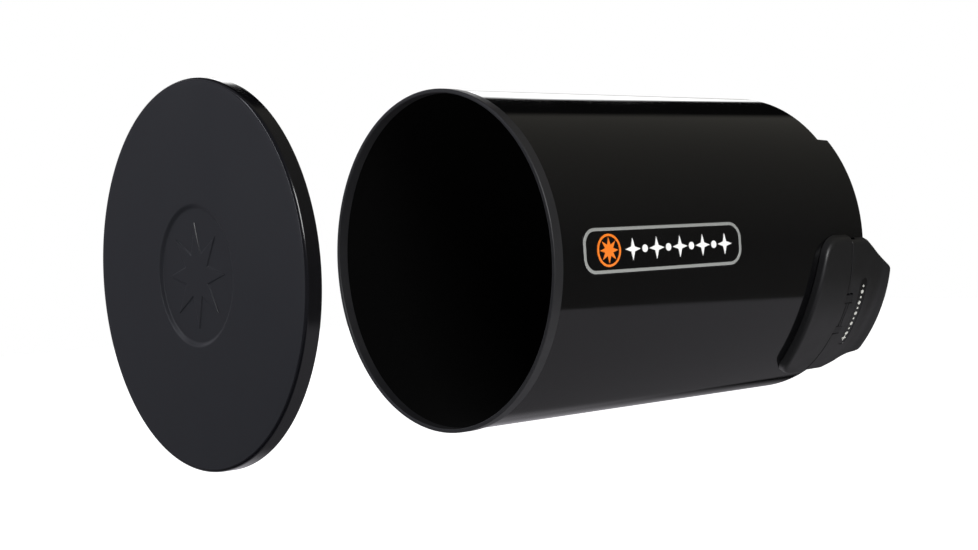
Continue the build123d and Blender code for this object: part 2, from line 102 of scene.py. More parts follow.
def make_piece(name, points, faces, sharp=40):
    """A mesh object from points and four-cornered faces, welded, facing outwards, sharp past an angle."""
    mesh = bpy.data.meshes.new(name)
    mesh.from_pydata(points.reshape(-1, 3).tolist(), [], faces.tolist())
    edit = bmesh.new()
    edit.from_mesh(mesh)
    bmesh.ops.remove_doubles(edit, verts=edit.verts, dist=2e-6)
    bmesh.ops.recalc_face_normals(edit, faces=edit.faces)
    edit.to_mesh(mesh)
    edit.free()
    mesh.polygons.foreach_set("use_smooth", np.ones(len(mesh.polygons), bool))
    mesh.set_sharp_from_angle(angle=math.radians(sharp))
    piece = bpy.data.objects.new(name, mesh)
    bpy.context.scene.collection.objects.link(piece)
    return piece


def settle(piece, body, slot, material, *nodes):
    """Put a finished piece on its body, give it its finish, and hide the solids that it stands for."""
    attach(piece, body)
    if nodes:
        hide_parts(*nodes)
    piece.data.materials.append(material)
    print("made", piece.name, "with", len(piece.data.polygons), "faces")
    return piece


# %% [markdown]
# ## Adding shader nodes
# A finish is a small graph of nodes. One function adds a node, sets its properties and links or fills its
# sockets, and one turns a paint chip's hex value into the linear light values that the shader needs.

# %% Material helpers
def linear(code):
    """An sRGB hex value as linear red, green, blue and a full alpha."""
    parts = [int(code[i:i + 2], 16) / 255 for i in (1, 3, 5)]
    return [p / 12.92 if p <= 0.04045 else ((p + 0.055) / 1.055) ** 2.4 for p in parts] + [1.0]


def add(tree, kind, settings=None, **sockets):
    """Add a node. Settings are its properties. A socket is given a value, or another node's output."""
    node = tree.nodes.new("ShaderNode" + kind)
    for key, value in (settings or {}).items():
        setattr(node, key, value)
    for key, value in sockets.items():
        socket = node.inputs[int(key[1:])] if key[0] == "_" else node.inputs[key.replace("_", " ")]
        if isinstance(value, bpy.types.NodeSocket):
            tree.links.new(value, socket)
        else:
            socket.default_value = value
    return node


def new_finish(name, color, **shader_values):
    """A material with one Principled shader. Returns the material, its nodes and that shader."""
    material = bpy.data.materials.new(name)
    material.use_nodes = True
    tree = material.node_tree
    shader = tree.nodes["Principled BSDF"]
    shader.inputs["Base Color"].default_value = linear(color)
    for key, value in shader_values.items():
        shader.inputs[key.replace("_", " ")].default_value = value
    return material, tree, shader


def grain(tree, shader, size_mm, depth_mm, **sockets):
    """Fine relief on the surface: a noise of that grain size, raised by that depth."""
    where = add(tree, "TexCoord").outputs["Object"]
    noise = add(tree, "TexNoise", Vector=where, Scale=1 / (size_mm * MM), **sockets)
    bump = add(tree, "Bump", Strength=1.0, Distance=depth_mm * MM, Height=noise.outputs["Fac"])
    tree.links.new(bump.outputs["Normal"], shader.inputs["Normal"])


def vary(tree, shader, socket, low, high, size_mm, detail=3.0):
    """A socket that drifts between two values, in patches of that size."""
    where = add(tree, "TexCoord").outputs["Object"]
    noise = add(tree, "TexNoise", Vector=where, Scale=1 / (size_mm * MM), Detail=detail)
    drift = add(tree, "MapRange", Value=noise.outputs["Fac"], From_Min=0.3, From_Max=0.7, To_Min=low,
                To_Max=high)
    tree.links.new(drift.outputs["Result"], shader.inputs[socket])


# %% [markdown]
# ## Finishes of the tube
# The tube is aluminium with a gloss black powder coat. Powder flows out as it melts but keeps a faint
# orange peel, with waves a few millimetres wide and a few thousandths high, which only bends reflections
# a little. Inside is black flock: short fibres stood on end that swallow light, so it gets no shine at all.

# %% Tube materials
powder_coat, tree, shader = new_finish("gloss_black_powder_coat", "#070708", Roughness=0.07, IOR=1.5)
grain(tree, shader, size_mm=3.5, depth_mm=0.003, Detail=1.0)
vary(tree, shader, "Roughness", 0.055, 0.1, size_mm=60)

flock, tree, shader = new_finish("black_nylon_flock", "#030303", Roughness=1.0, Specular_IOR_Level=0.1)
grain(tree, shader, size_mm=0.7, depth_mm=0.25, Detail=4.0)

felt, tree, shader = new_finish("pressed_wool_felt", "#0c0c0d", Roughness=1.0, Specular_IOR_Level=0.15)
grain(tree, shader, size_mm=0.9, depth_mm=0.2, Detail=5.0, Distortion=1.5)

edging, tree, shader = new_finish("extruded_black_vinyl", "#202022", Roughness=0.42, IOR=1.52)
grain(tree, shader, size_mm=0.6, depth_mm=0.01, Detail=2.0)
vary(tree, shader, "Roughness", 0.36, 0.5, size_mm=12)

ring_plastic, tree, shader = new_finish("matt_moulded_plastic", "#0d0d0f", Roughness=0.6, IOR=1.5)
grain(tree, shader, size_mm=0.4, depth_mm=0.01, Detail=2.0)
print("materials so far:", len(bpy.data.materials))

# %% [markdown]
# ## Round walls
# The tube, the lining and the felt are all round walls. A wall's section is a loop, out along one face,
# round the rear edge, back along the other and round the front edge, and the loop is carried round the
# optical axis. The rear edge of the real tube steps back round the top and under the latch, so both
# edges are given as a value for every turn. A modifier could cut the steps, but a formula keeps the edge
# rounding right through them.

# %% Walls about the optical axis
def step(x, place, width):
    """0 before a place and 1 after it, with a smooth rise of that width: 3t^2 - 2t^3."""
    t = np.clip((x - place) / width + 0.5, 0, 1)
    return t * t * (3 - 2 * t)


def about_axis(radius, along, turn):
    """Points at a distance from the optical axis, at a place along it, turned up from +X."""
    parts = (radius * np.cos(turn), along, radius * np.sin(turn))
    return np.stack(np.broadcast_arrays(*parts), axis=-1)


def round_wall(name, inner, outer, front, rear, turns, closed=True, edge=0.25 * MM):
    """A round wall whose front and rear edges are given for every turn.

    Each corner of the section is a quarter circle, edge * (cos, 1 - sin), with one more point beside it
    that keeps the long faces flat in the shading. An open wall's ends are drawn in to its middle.
    """
    bend = np.radians([0, 30, 60, 90])
    depth = np.append(4 * edge, edge * (1 - np.sin(bend)))
    outside = np.append(outer, outer - edge + edge * np.cos(bend))
    inside = np.append(inner, inner + edge - edge * np.cos(bend))
    radius = np.concatenate([outside, inside[::-1], inside, outside[::-1]])
    both = np.append(depth, depth[::-1])
    along = np.concatenate([front[:, None] + both, rear[:, None] - both], axis=1)
    radius = np.tile(radius, (len(turns), 1))
    if not closed:
        radius[[0, -1]] = (inner + outer) / 2
    points = about_axis(radius, along, turns[:, None])
    return make_piece(name, points, quads(*points.shape[:2], wrap_rows=closed, wrap_columns=True))


def turns_near(places, width=0.025, fine=24, coarse=360):
    """Turns all the way round, closer together near some places."""
    near = [np.linspace(p - width, p + width, fine) for p in places]
    every = np.linspace(0, 2 * np.pi, coarse, endpoint=False)
    return np.unique(np.round(np.mod(np.concatenate([every, *near]), 2 * np.pi), 6))


def turned_from(turns, middle):
    """How far each turn is from a middle one, either way round."""
    return np.abs(np.mod(turns - middle + np.pi, 2 * np.pi) - np.pi)


# %% [markdown]
# ## The tube
# Its rear edge is three steps deep: full length at the sides, shorter round the top, and shorter again
# under the latch, where a deep notch lets the clamp's shoe through.

# %% Shield tube
TOP_HALF, TOP_DEPTH = math.radians(48.7), 11.5 * MM
LATCH_HALF, LATCH_DEPTH = math.asin(58.5 / 126), 7 * MM           # half width over outside radius, mm
NOTCH_HALF, NOTCH_DEPTH = math.asin(18 / 119), 24.5 * MM          # half width over tube radius, mm
CORNER = 1.2 * MM / TUBE_OUT                  # the steps' corners are rounded over this turn

edges = [math.pi / 2 - TOP_HALF, math.pi / 2 + TOP_HALF]
edges += [LATCH_TURN + side * half for side in (-1, 1) for half in (LATCH_HALF, NOTCH_HALF)]
turns = turns_near(edges)
cut = TOP_DEPTH * (1 - step(turned_from(turns, math.pi / 2), TOP_HALF, CORNER))
latch_cut = LATCH_DEPTH * (1 - step(turned_from(turns, LATCH_TURN), LATCH_HALF, CORNER))
notch_cut = NOTCH_DEPTH * (1 - step(turned_from(turns, LATCH_TURN), NOTCH_HALF, CORNER / 2))
rear = TUBE_REAR - np.maximum.reduce([cut, latch_cut, notch_cut])
front = np.full_like(turns, TUBE_FRONT)
tube = round_wall("shield_wall", TUBE_IN, TUBE_OUT, front, rear, turns)
settle(tube, "shield", "powder_coat", powder_coat, "shield_tube")

# %% [markdown]
# ## Lining and felt
# The flock lining runs from the edging at the front to the stop ring, and stops short of the latch's
# screws. The felt band behind the stop ring is open at the latch.

# %% Lining and felt
FLOCK_IN, FLOCK_OUT, FLOCK_FRONT, FLOCK_REAR = spans("flock_lining")
LINING_HALF, LINING_STOP = math.radians(25.5), -28.8 * MM
turns = turns_near([LATCH_TURN - LINING_HALF, LATCH_TURN + LINING_HALF])
open_part = 1 - step(turned_from(turns, LATCH_TURN), LINING_HALF, CORNER)
rear = FLOCK_REAR + (LINING_STOP - FLOCK_REAR) * open_part
front = np.full_like(turns, FLOCK_FRONT)
lining = round_wall("flocked_lining", FLOCK_IN, FLOCK_OUT, front, rear, turns, edge=0.15 * MM)
settle(lining, "shield", "flock", flock, "flock_lining")

FELT_IN, FELT_OUT, FELT_FRONT, FELT_REAR = spans("seat_felt")
gap_half = math.asin(18.5 * MM / FELT_OUT)
turns = LATCH_TURN + np.linspace(gap_half, 2 * np.pi - gap_half, 240)
turns = np.concatenate([turns[:1], turns, turns[-1:]])
level = np.ones_like(turns)
band = round_wall("felt_band", FELT_IN, FELT_OUT, FELT_FRONT * level, FELT_REAR * level, turns, closed=False)
settle(band, "shield", "felt", felt, "seat_felt")

# %% [markdown]
# ## Outlines with rounded corners
# The edging, the stop ring and the cap are turned shapes: a closed profile spun round the axis. One
# function rounds a profile's corners. It works for the badge's outline too.

# %% Rounded outlines
def rounded(corners, radii, steps=4, hold=0.0):
    """A closed outline through corners, each rounded by an arc of its own radius.

    The arc meets both sides at radius * tan(half the turn) from the corner, and its points are the
    centre plus the radius along normals that turn evenly from one side's to the next side's. With a
    hold, one more point lies that far beyond each end of the arc and keeps the sides flat in the shading.
    """
    corners = np.asarray(corners, float)
    into = corners - np.roll(corners, 1, axis=0)
    into /= np.linalg.norm(into, axis=1)[:, None]
    out = np.roll(into, -1, axis=0)
    outline = []
    for corner, a, b, radius in zip(corners, into, out, radii):
        turn = math.atan2(a[0] * b[1] - a[1] * b[0], a @ b)
        side = math.copysign(1, turn)
        reach = radius * math.tan(abs(turn) / 2)
        normal = np.array([-a[1], a[0]]) * side
        centre = corner - a * reach + normal * radius
        swing = np.linspace(0, turn, steps)[:, None]
        arc = centre - radius * (normal * np.cos(swing) + np.array([-normal[1], normal[0]]) * np.sin(swing))
        ends = [corner - a * (reach + hold)], [corner + b * (reach + hold)]
        outline += [*ends[0], *arc, *ends[1]] if hold else [*arc]
    return np.array(outline)


def spun(name, profile, count=360):
    """A closed profile of (distance from the axis, place along it) carried all the way round."""
    turns = np.linspace(0, 2 * np.pi, count, endpoint=False)[:, None]
    points = about_axis(profile[:, 0], profile[:, 1], turns)
    return make_piece(name, points, quads(*points.shape[:2], wrap_rows=True, wrap_columns=True))


# %% [markdown]
# ## Front edging and stop ring
# The edging is a U of soft vinyl pushed over the tube's cut edge, with a full round nose. The stop ring is
# moulded with an angle section, and its flange stops the telescope.

# %% Edging and stop ring
TRIM_IN, TRIM_OUT, NOSE, TRIM_REAR = spans("front_edge_trim")
section = [(TRIM_OUT, TRIM_REAR), (TUBE_OUT, TRIM_REAR), (TUBE_OUT, TUBE_FRONT), (TUBE_IN, TUBE_FRONT)]
section += [(TUBE_IN, TRIM_REAR), (TRIM_IN, TRIM_REAR), (TRIM_IN, NOSE), (TRIM_OUT, NOSE)]
lip = 0.3 * MM
radii = [lip, 0, 0, 0, 0, lip, 0.8 * MM, 0.8 * MM]
trim = spun("front_edging", rounded(section, radii, steps=7, hold=0.1 * MM))
settle(trim, "shield", "edge_trim", edging, "front_edge_trim")

STOP_IN, STOP_OUT, LEG_FRONT, STOP_REAR = spans("stop_ring")
FLANGE, LEG = 2.5 * MM, 1.2 * MM
section = [(STOP_IN, STOP_REAR), (STOP_OUT, STOP_REAR), (STOP_OUT, LEG_FRONT), (STOP_OUT - LEG, LEG_FRONT)]
section += [(STOP_OUT - LEG, STOP_REAR - FLANGE), (STOP_IN, STOP_REAR - FLANGE)]
radii = np.array([0.3, 0.2, 0.2, 0.3, 0.8, 0.3]) * MM
ring = spun("stop_angle_ring", rounded(section, radii, hold=0.15 * MM))
settle(ring, "shield", "stop_ring", ring_plastic, "stop_ring")

# %% [markdown]
# ## The cap
# The cap is injection moulded in black ABS. The mould is blasted over the face, which comes out satin, and
# polished round the skirt, which comes out glossy and draws a thin bright line at the edge. The face also
# has the finer grain, so there are two materials, and the skirt's colour is made darker than the face's as
# painted shade.

# %% Cap materials
cap_face, tree, shader = new_finish("satin_moulded_plastic", "#15161a", Roughness=0.36, IOR=1.5)
grain(tree, shader, size_mm=0.8, depth_mm=0.006, Detail=2.0)
vary(tree, shader, "Roughness", 0.33, 0.42, size_mm=70)

# the skirt's colour, #08080b against the face's #15161a, is painted shade on the cap's side
skirt_painted_shade, tree, shader = new_finish("polished_plastic_painted_shade", "#08080b", Roughness=0.16, IOR=1.5)
grain(tree, shader, size_mm=4.0, depth_mm=0.004, Detail=1.0)

# %% [markdown]
# ## The cap's surface
# The face is flat, with a shallow dished medallion in the middle and a plain eight-pointed star in it. The
# surface is one grid: each ring of points follows the star's outline near the middle and turns into a
# circle further out, so that the star's edges stay crisp without a fine mesh everywhere.

# %% Cap
_, CAP_OUT, CAP_FRONT, CAP_REAR = spans("cap_shell")
CAP_FELT_IN, CAP_FELT_OUT, CAP_FELT_FRONT, CAP_FELT_REAR = spans("cap_felt")
STAR_POINTS, STAR_OUT, STAR_IN = 8, 33 * MM, 13.9 * MM
DISH_RADIUS, DISH_SLOPE, DISH_DEPTH, STAR_RELIEF = 44.7 * MM, 3.4 * MM, 1.6 * MM, 0.5 * MM
FACE_WALL, CAP_EDGE = 2.2 * MM, 2 * MM
ROUND_FROM = 38 * MM                          # from here outwards the rings are circles


def star_edge(turn):
    """Distance from the middle to the outline of a star, a straight side between a point and a valley.

    For a side from a point at distance P to a valley at V, half a pitch b further round, it is
    P V sin b / (P sin f + V sin(b - f)), where f is the turn from the nearest point.
    """
    b = math.pi / STAR_POINTS
    f = np.abs(np.mod(turn - math.pi / 2 + b, 2 * b) - b)
    return STAR_OUT * STAR_IN * math.sin(b) / (STAR_OUT * np.sin(f) + STAR_IN * np.sin(b - f))


def cap_rings(turns):
    """Rings of the cap from the middle of its face out, over the edge, up the skirt and back inside.

    Each is (distance from the axis for every turn, depth behind the face).
    """
    star = star_edge(turns)
    even = np.ones_like(turns)
    top = DISH_DEPTH - STAR_RELIEF
    rings = [(share * star, top) for share in (0, 0.3, 0.6, 0.85)]
    rings += [(star - 0.9 * MM, top), (star - 0.5 * MM, top + 0.03 * MM), (star - 0.25 * MM, top + 0.18 * MM)]
    rings += [(star + 0.1 * MM, DISH_DEPTH - 0.08 * MM), (star + 0.35 * MM, DISH_DEPTH)]
    rings += [(star + share * (ROUND_FROM - star), DISH_DEPTH) for share in (0.1, 0.4, 0.7, 1)]
    foot = DISH_RADIUS - DISH_SLOPE
    sweep = np.linspace(0, 1, 9)
    bowl = DISH_DEPTH * (1 - step(sweep, 0.5, 1.0))
    rings += [((foot - 0.6 * MM) * even, DISH_DEPTH)]
    rings += [((foot + DISH_SLOPE * s) * even, d) for s, d in zip(sweep, bowl)]
    rings += [((DISH_RADIUS + d * MM) * even, 0) for d in (0.5, 3, 12, 30, 55, 71)]
    bend = np.radians(np.linspace(0, 90, 9))
    edge = CAP_OUT - CAP_EDGE
    rings += [((edge + CAP_EDGE * math.sin(a)) * even, CAP_EDGE * (1 - math.cos(a))) for a in bend]
    depth, inner = CAP_REAR - CAP_FRONT, CAP_FELT_OUT
    lip = 0.4 * MM
    rings += [(CAP_OUT * even, CAP_EDGE + 0.3 * MM), (CAP_OUT * even, depth - 3 * lip)]
    bend = np.radians(np.linspace(0, 90, 4))
    rings += [((CAP_OUT - lip + lip * math.cos(a)) * even, depth - lip + lip * math.sin(a)) for a in bend]
    rings += [((inner + lip - lip * math.sin(a)) * even, depth - lip + lip * math.cos(a)) for a in bend]
    rings += [(inner * even, depth - 3 * lip), (inner * even, FACE_WALL + lip)]
    rings += [((inner - lip) * even, FACE_WALL), ((inner - 3 * lip) * even, FACE_WALL)]
    boss = DISH_RADIUS + 1 * MM
    rings += [((boss + 1 * MM) * even, FACE_WALL), (boss * even, FACE_WALL)]
    floor_depth = FACE_WALL + DISH_DEPTH
    rings += [(boss * even, floor_depth - 0.3 * MM), ((boss - 0.3 * MM) * even, floor_depth)]
    rings += [((boss - 1.5 * MM) * even, floor_depth), (0 * even, floor_depth)]
    return rings


turns = np.linspace(0, 2 * np.pi, 512, endpoint=False)
rings = cap_rings(turns)
radius = np.stack([r for r, depth in rings], axis=1)
along = CAP_FRONT + np.array([depth for r, depth in rings])
points = about_axis(radius, along, turns[:, None])
cap = make_piece("moulded_cap", points, quads(*points.shape[:2], wrap_rows=True), sharp=50)
settle(cap, "cap", "cap_plastic", cap_face, "cap_shell")
cap.data.materials.append(skirt_painted_shade)
centres = np.array([f.center for f in cap.data.polygons])
on_skirt = np.hypot(centres[:, 0], centres[:, 2]) > CAP_OUT - CAP_EDGE
cap.data.polygons.foreach_set("material_index", on_skirt.astype(np.int32))
cap.data.update()

corners = [(CAP_FELT_IN, CAP_FELT_FRONT), (CAP_FELT_OUT, CAP_FELT_FRONT)]
corners += [(CAP_FELT_OUT, CAP_FELT_REAR), (CAP_FELT_IN, CAP_FELT_REAR)]
grip = spun("cap_grip_felt", rounded(corners, [0.2 * MM] * 4, hold=0.1 * MM))
settle(grip, "cap", "felt", felt, "cap_felt")

# %% [markdown]
# ## The badge's inks
# The badge is a gloss black film, screen printed in silver, white and orange. Ink lies flat and is a little
# duller than the film, so each ink gets its own roughness and hardly any relief.

# %% Badge materials
badge_black, tree, shader = new_finish("gloss_black_film", "#050506", Roughness=0.22, IOR=1.5)
vary(tree, shader, "Roughness", 0.18, 0.28, size_mm=25)

silver, tree, shader = new_finish("silver_metallic_ink", "#a2a4a1", Roughness=0.42, Metallic=0.3)
grain(tree, shader, size_mm=0.4, depth_mm=0.01, Detail=2.0)

white_ink, tree, shader = new_finish("white_screen_ink", "#ececea", Roughness=0.45, IOR=1.5)
vary(tree, shader, "Roughness", 0.4, 0.5, size_mm=5)

orange, tree, shader = new_finish("orange_enamel_ink", "#ee7a1c", Roughness=0.35, IOR=1.5)
vary(tree, shader, "Roughness", 0.3, 0.42, size_mm=6)

label_ink, tree, shader = new_finish("pale_grey_pad_ink", "#b4b4ae", Roughness=0.5, IOR=1.5)
vary(tree, shader, "Roughness", 0.44, 0.56, size_mm=4)

# %% [markdown]
# ## The badge
# The thin plate is bonded to the tube, with a line printed round it. It bends with the tube, so its flat
# outline is laid on the cylinder: a point keeps its place along the tube and its height, and moves out to
# the surface.

# %% Badge
BADGE_TURN = math.radians(1.0)
BADGE_MIDDLE, BADGE_LENGTH, BADGE_HEIGHT, BADGE_CORNER = -196 * MM, 158 * MM, 32 * MM, 12 * MM
_, BADGE_TOP, _, _ = spans("badge_plate")
_, LINE_TOP, _, _ = spans("badge_border")


def lay_on_tube(flat, radius, turn):
    """Flat points (along, across) carried out to a distance from the axis, then turned round it."""
    across = flat[..., 1]
    out = np.sqrt(radius**2 - across**2)
    x = out * math.cos(turn) - across * math.sin(turn)
    z = out * math.sin(turn) + across * math.cos(turn)
    return np.stack([x, flat[..., 0], z], axis=-1)


def badge_outline(inset):
    """The badge's outline drawn in by an inset: the sides move in and the corners get tighter."""
    long, high = BADGE_LENGTH / 2 - inset, BADGE_HEIGHT / 2 - inset
    corners = [(-long, -high), (long, -high), (long, high), (-long, high)]
    return rounded(corners, [max(BADGE_CORNER - inset, 0.01 * MM)] * 4, steps=14) + [BADGE_MIDDLE, 0]


def rim(insets, radii):
    """Rings of badge outline, each drawn in by an inset and lifted to a distance from the axis."""
    laid = [lay_on_tube(badge_outline(i), r, BADGE_TURN) for i, r in zip(insets, radii)]
    return np.stack(laid)


# rings from the middle of the back, round the edge and over the face to its middle
insets = np.array([15.99, 6, 0.05, 0, 0.06, 0.18, 0.5, 6, 12, 15.99]) * MM
lifts = np.array([0, 0, 0, 0.06, 0.4, 0.5, 0.5, 0.5, 0.5, 0.5])
lifts = TUBE_OUT + lifts / 0.5 * (BADGE_TOP - TUBE_OUT)
points = rim(insets, lifts)
plate = make_piece("badge_plate_film", points, quads(*points.shape[:2], wrap_columns=True))
settle(plate, "shield", "badge_black", badge_black, "badge_plate")

# a band 2.2 mm wide, sunk a little into the film and rounded off at both sides
insets = np.array([0.8, 0.8, 0.95, 1.3, 2.5, 2.85, 3.0, 3.0]) * MM
lifts = BADGE_TOP + np.array([-0.2, 0.2, 0.36, 0.4, 0.4, 0.36, 0.2, -0.2]) / 0.4 * (LINE_TOP - BADGE_TOP)
points = rim(insets, lifts)
line = make_piece("badge_line", points, quads(*points.shape[:2], wrap_rows=True, wrap_columns=True))
settle(line, "shield", "badge_silver", silver, "badge_border")

# %% [markdown]
# ## Plates on a grid of heights
# The latch's base and lever are moulded plates that follow the tube. Seen from outside, each is a height
# over a flat outline: the distance from the tube's axis, less what the rounded edge takes away. That
# depends only on how far a point is from the outline, so one formula rounds straight sides, arcs and
# corners alike. The underside is a second height, with the hollow and the side walls in it.

# %% Plate helpers
def lines(low, high, pitch, *near):
    """Places from low to high at a pitch, and closer together near others, each (middle, reach, pitch)."""
    fine = [np.arange(m - reach, m + reach, fine_pitch) for m, reach, fine_pitch in near]
    every = np.concatenate([np.arange(low, high, pitch), [high], *fine])
    return np.unique(np.round(every[(every >= low) & (every <= high)], 4))


def edge_lines(low, high, insets):
    """Places a few insets in from both ends."""
    return np.concatenate([low + insets, high - insets])


def distance_to(y, z, outline):
    """Distance from each point to the nearest place on a line of straight pieces."""
    start, piece = outline[:-1], np.diff(outline, axis=0)
    off_y, off_z = y[..., None] - start[:, 0], z[..., None] - start[:, 1]
    share = (off_y * piece[:, 0] + off_z * piece[:, 1]) / (piece**2).sum(axis=1)
    share = np.clip(share, 0, 1)
    return np.hypot(off_y - share * piece[:, 0], off_z - share * piece[:, 1]).min(axis=-1)


def rounding(distance, radius):
    """How much a quarter-round edge lowers a face: r - sqrt(r^2 - (r - d)^2)."""
    short = radius - np.minimum(distance, radius)
    return radius - np.sqrt(np.maximum(radius**2 - short**2, 0))


def plate_between(name, y, z, top, bottom, sharp=40):
    """A closed plate between two heights over the same (y, z) grid, given in millimetres."""
    flat = np.stack([y, z], axis=-1) * MM
    sheets = [lay_on_tube(flat, height * MM, LATCH_TURN) for height in (top, bottom)]
    rows, columns = y.shape
    points = np.concatenate([sheets[0].reshape(-1, 3), sheets[1].reshape(-1, 3)])
    number = np.arange(rows * columns).reshape(rows, columns)
    around = np.concatenate([number[0], number[1:, -1], number[-1, -2::-1], number[-2:0:-1, 0]])
    ahead = np.roll(around, -1)
    under = rows * columns
    wall = np.stack([around, ahead, ahead + under, around + under], axis=1)
    faces = np.concatenate([quads(rows, columns), quads(rows, columns) + under, wall])
    return make_piece(name, points, faces, sharp)


# %% [markdown]
# ## Latch plastics
# The latch is moulded in ABS with a fine spark-eroded texture, which gives a satin black:
# broad soft highlights along its rounded edges. The texture is really about 0.05 mm, which would not
# show, so it is drawn at 0.5 mm.

# %% Latch materials
latch_black, tree, shader = new_finish("spark_textured_abs", "#141415", Roughness=0.4, IOR=1.53)
grain(tree, shader, size_mm=0.5, depth_mm=0.012, Detail=2.0)
vary(tree, shader, "Roughness", 0.36, 0.46, size_mm=18)

rubber, tree, shader = new_finish("moulded_black_rubber", "#0e0e0e", Roughness=0.75, IOR=1.52)
grain(tree, shader, size_mm=0.5, depth_mm=0.03, Detail=3.0)

oxide_steel, tree, shader = new_finish("black_oxide_steel", "#3a3b3e", Roughness=0.4, Metallic=1.0)
vary(tree, shader, "Roughness", 0.3, 0.5, size_mm=4)

bright_steel, tree, shader = new_finish("ground_stainless_steel", "#c3c4c6", Roughness=0.22, Metallic=1.0)
vary(tree, shader, "Roughness", 0.16, 0.3, size_mm=3)

filled_nylon, tree, shader = new_finish("black_glass_filled_nylon", "#101011", Roughness=0.5, IOR=1.53)
grain(tree, shader, size_mm=0.5, depth_mm=0.01, Detail=2.0)

# %% [markdown]
# ## The latch's base
# The base is a half moon: straight along the crease, a long arc in front, and generous corners. The front
# edge is worked out for every place across the latch: an arc of radius 180 about a point behind, and past
# the tangent point the corner's own circle.

# %% Latch base (millimetres, along Y and across the latch)
_, LATCH_TOP, BASE_FRONT, LIP_END = [s / MM for s in spans("latch_base")]
LATCH_TOP = LATCH_TOP.round(2)
HINGE_HALF, HINGE_LIP = 10.0, 2.1             # in the middle the base reaches back over the hinge
WINDOW_HALF = 19.5                            # half the width of the opening for the hinge and the shoe
TUBE_TOP = TUBE_OUT / MM
PLATE_WALL, GASKET, BASE_ROUND, CREASE_ROUND = 3.0, 0.6, 2.8, 0.6
BASE_HALF, ARC_RADIUS, CORNER_RADIUS = 58.5, 180.0, 18.0
INSETS = np.array([0, 0.03, 0.1, 0.22, 0.4, 0.65, 0.95, 1.3, 1.7, 2.2, 2.8, 2.95, 3.05, 3.4, 4])

arc_middle = BASE_FRONT + ARC_RADIUS
corner_z = BASE_HALF - CORNER_RADIUS
corner_y = arc_middle - math.sqrt((ARC_RADIUS - CORNER_RADIUS)**2 - corner_z**2)
tangent_z = corner_z * ARC_RADIUS / (ARC_RADIUS - CORNER_RADIUS)


def base_front(z):
    """Front edge of the base at a place across it: the long arc, then the corner's circle."""
    long_arc = arc_middle - np.sqrt(ARC_RADIUS**2 - z**2)
    over = np.clip(np.abs(z) - corner_z, 0, CORNER_RADIUS)
    corner = corner_y - np.sqrt(CORNER_RADIUS**2 - over**2)
    return np.where(np.abs(z) < tangent_z, long_arc, corner)


across = lines(-BASE_HALF, BASE_HALF, 1.5, (-HINGE_HALF, 0.5, 0.1), (HINGE_HALF, 0.5, 0.1))
across = np.unique(np.concatenate([across, edge_lines(-BASE_HALF, BASE_HALF, INSETS)]))
crease = LIP_END - HINGE_LIP * step(np.abs(across), HINGE_HALF, 0.3)[:, None]
share = np.linspace(0, 1, 18)[1:-1]
first = base_front(across)[:, None] + INSETS
last = crease - INSETS[::-1]
between = first[:, -1:] + (last[:, :1] - first[:, -1:]) * share
y = np.concatenate([first, between, last], axis=1)
z = np.broadcast_to(across[:, None], y.shape)
outline = np.stack([base_front(across), across], axis=1)
outline = np.concatenate([[(LIP_END, -BASE_HALF)], outline, [(LIP_END, BASE_HALF)]])
from_edge = distance_to(y, z, outline)
from_crease = distance_to(y, z, np.stack([crease[:, 0], across], axis=1))
top = LATCH_TOP - rounding(from_edge, BASE_ROUND) - rounding(from_crease, CREASE_ROUND)
over_shoe = np.abs(z) < WINDOW_HALF           # no wall here, so that the shoe can rise behind the crease
wall = (from_edge < PLATE_WALL) | ((from_crease < PLATE_WALL) & ~over_shoe)
bottom = np.where(wall, TUBE_TOP + GASKET, LATCH_TOP - PLATE_WALL)
base = plate_between("latch_base_moulding", y, z, top, bottom)
settle(base, "shield", "latch_plastic", latch_black, "latch_base")

# %% [markdown]
# ## The lever
# The lever carries on from the base and is cut off slantwise to a finger lip. Its back is slightly
# hollow and then turns up. A long round-ended recess holds the label, and a slot at the crease leaves room
# for the hinge. Rows of points follow the outline, and squeeze together where the lever gets shorter.

# %% Lever (millimetres, along Y and across the latch)
_, _, LEVER_FRONT, LEVER_REAR = [s / MM for s in spans("latch_lever")]
LEVER_HALF, LIP_HALF, SIDE_END, LEVER_CORNER = 56.5, 36.0, 25.2, 5.0
SLOT_HALF, SLOT_END, SKIRT_DEPTH, SKIRT_WALL = 17.6, 13.0, 2.6, 2.0
LABEL_Y, LABEL_HALF, LABEL_RADIUS, LABEL_FLOOR = 23.7, 29.0, 4.0, 124.9
LABEL_END = LABEL_HALF - LABEL_RADIUS / 2     # about the middle of the recess's round ends
FIXED_ROW = 18.0                              # rows in front of it follow the slot, and behind it the lip

corners = [(LEVER_FRONT, -LEVER_HALF), (SIDE_END, -LEVER_HALF), (LEVER_REAR, -LIP_HALF)]
corners += [(LEVER_REAR, LIP_HALF), (SIDE_END, LEVER_HALF), (LEVER_FRONT, LEVER_HALF)]
lever_outline = rounded(corners, [0.01] + [LEVER_CORNER] * 4 + [0.01], steps=12)


def lever_rear(z):
    """Rear edge of the lever at a place across it, read off its outline."""
    back = lever_outline[lever_outline[:, 0] > LEVER_FRONT + 1]
    return np.interp(z, back[:, 1], back[:, 0])


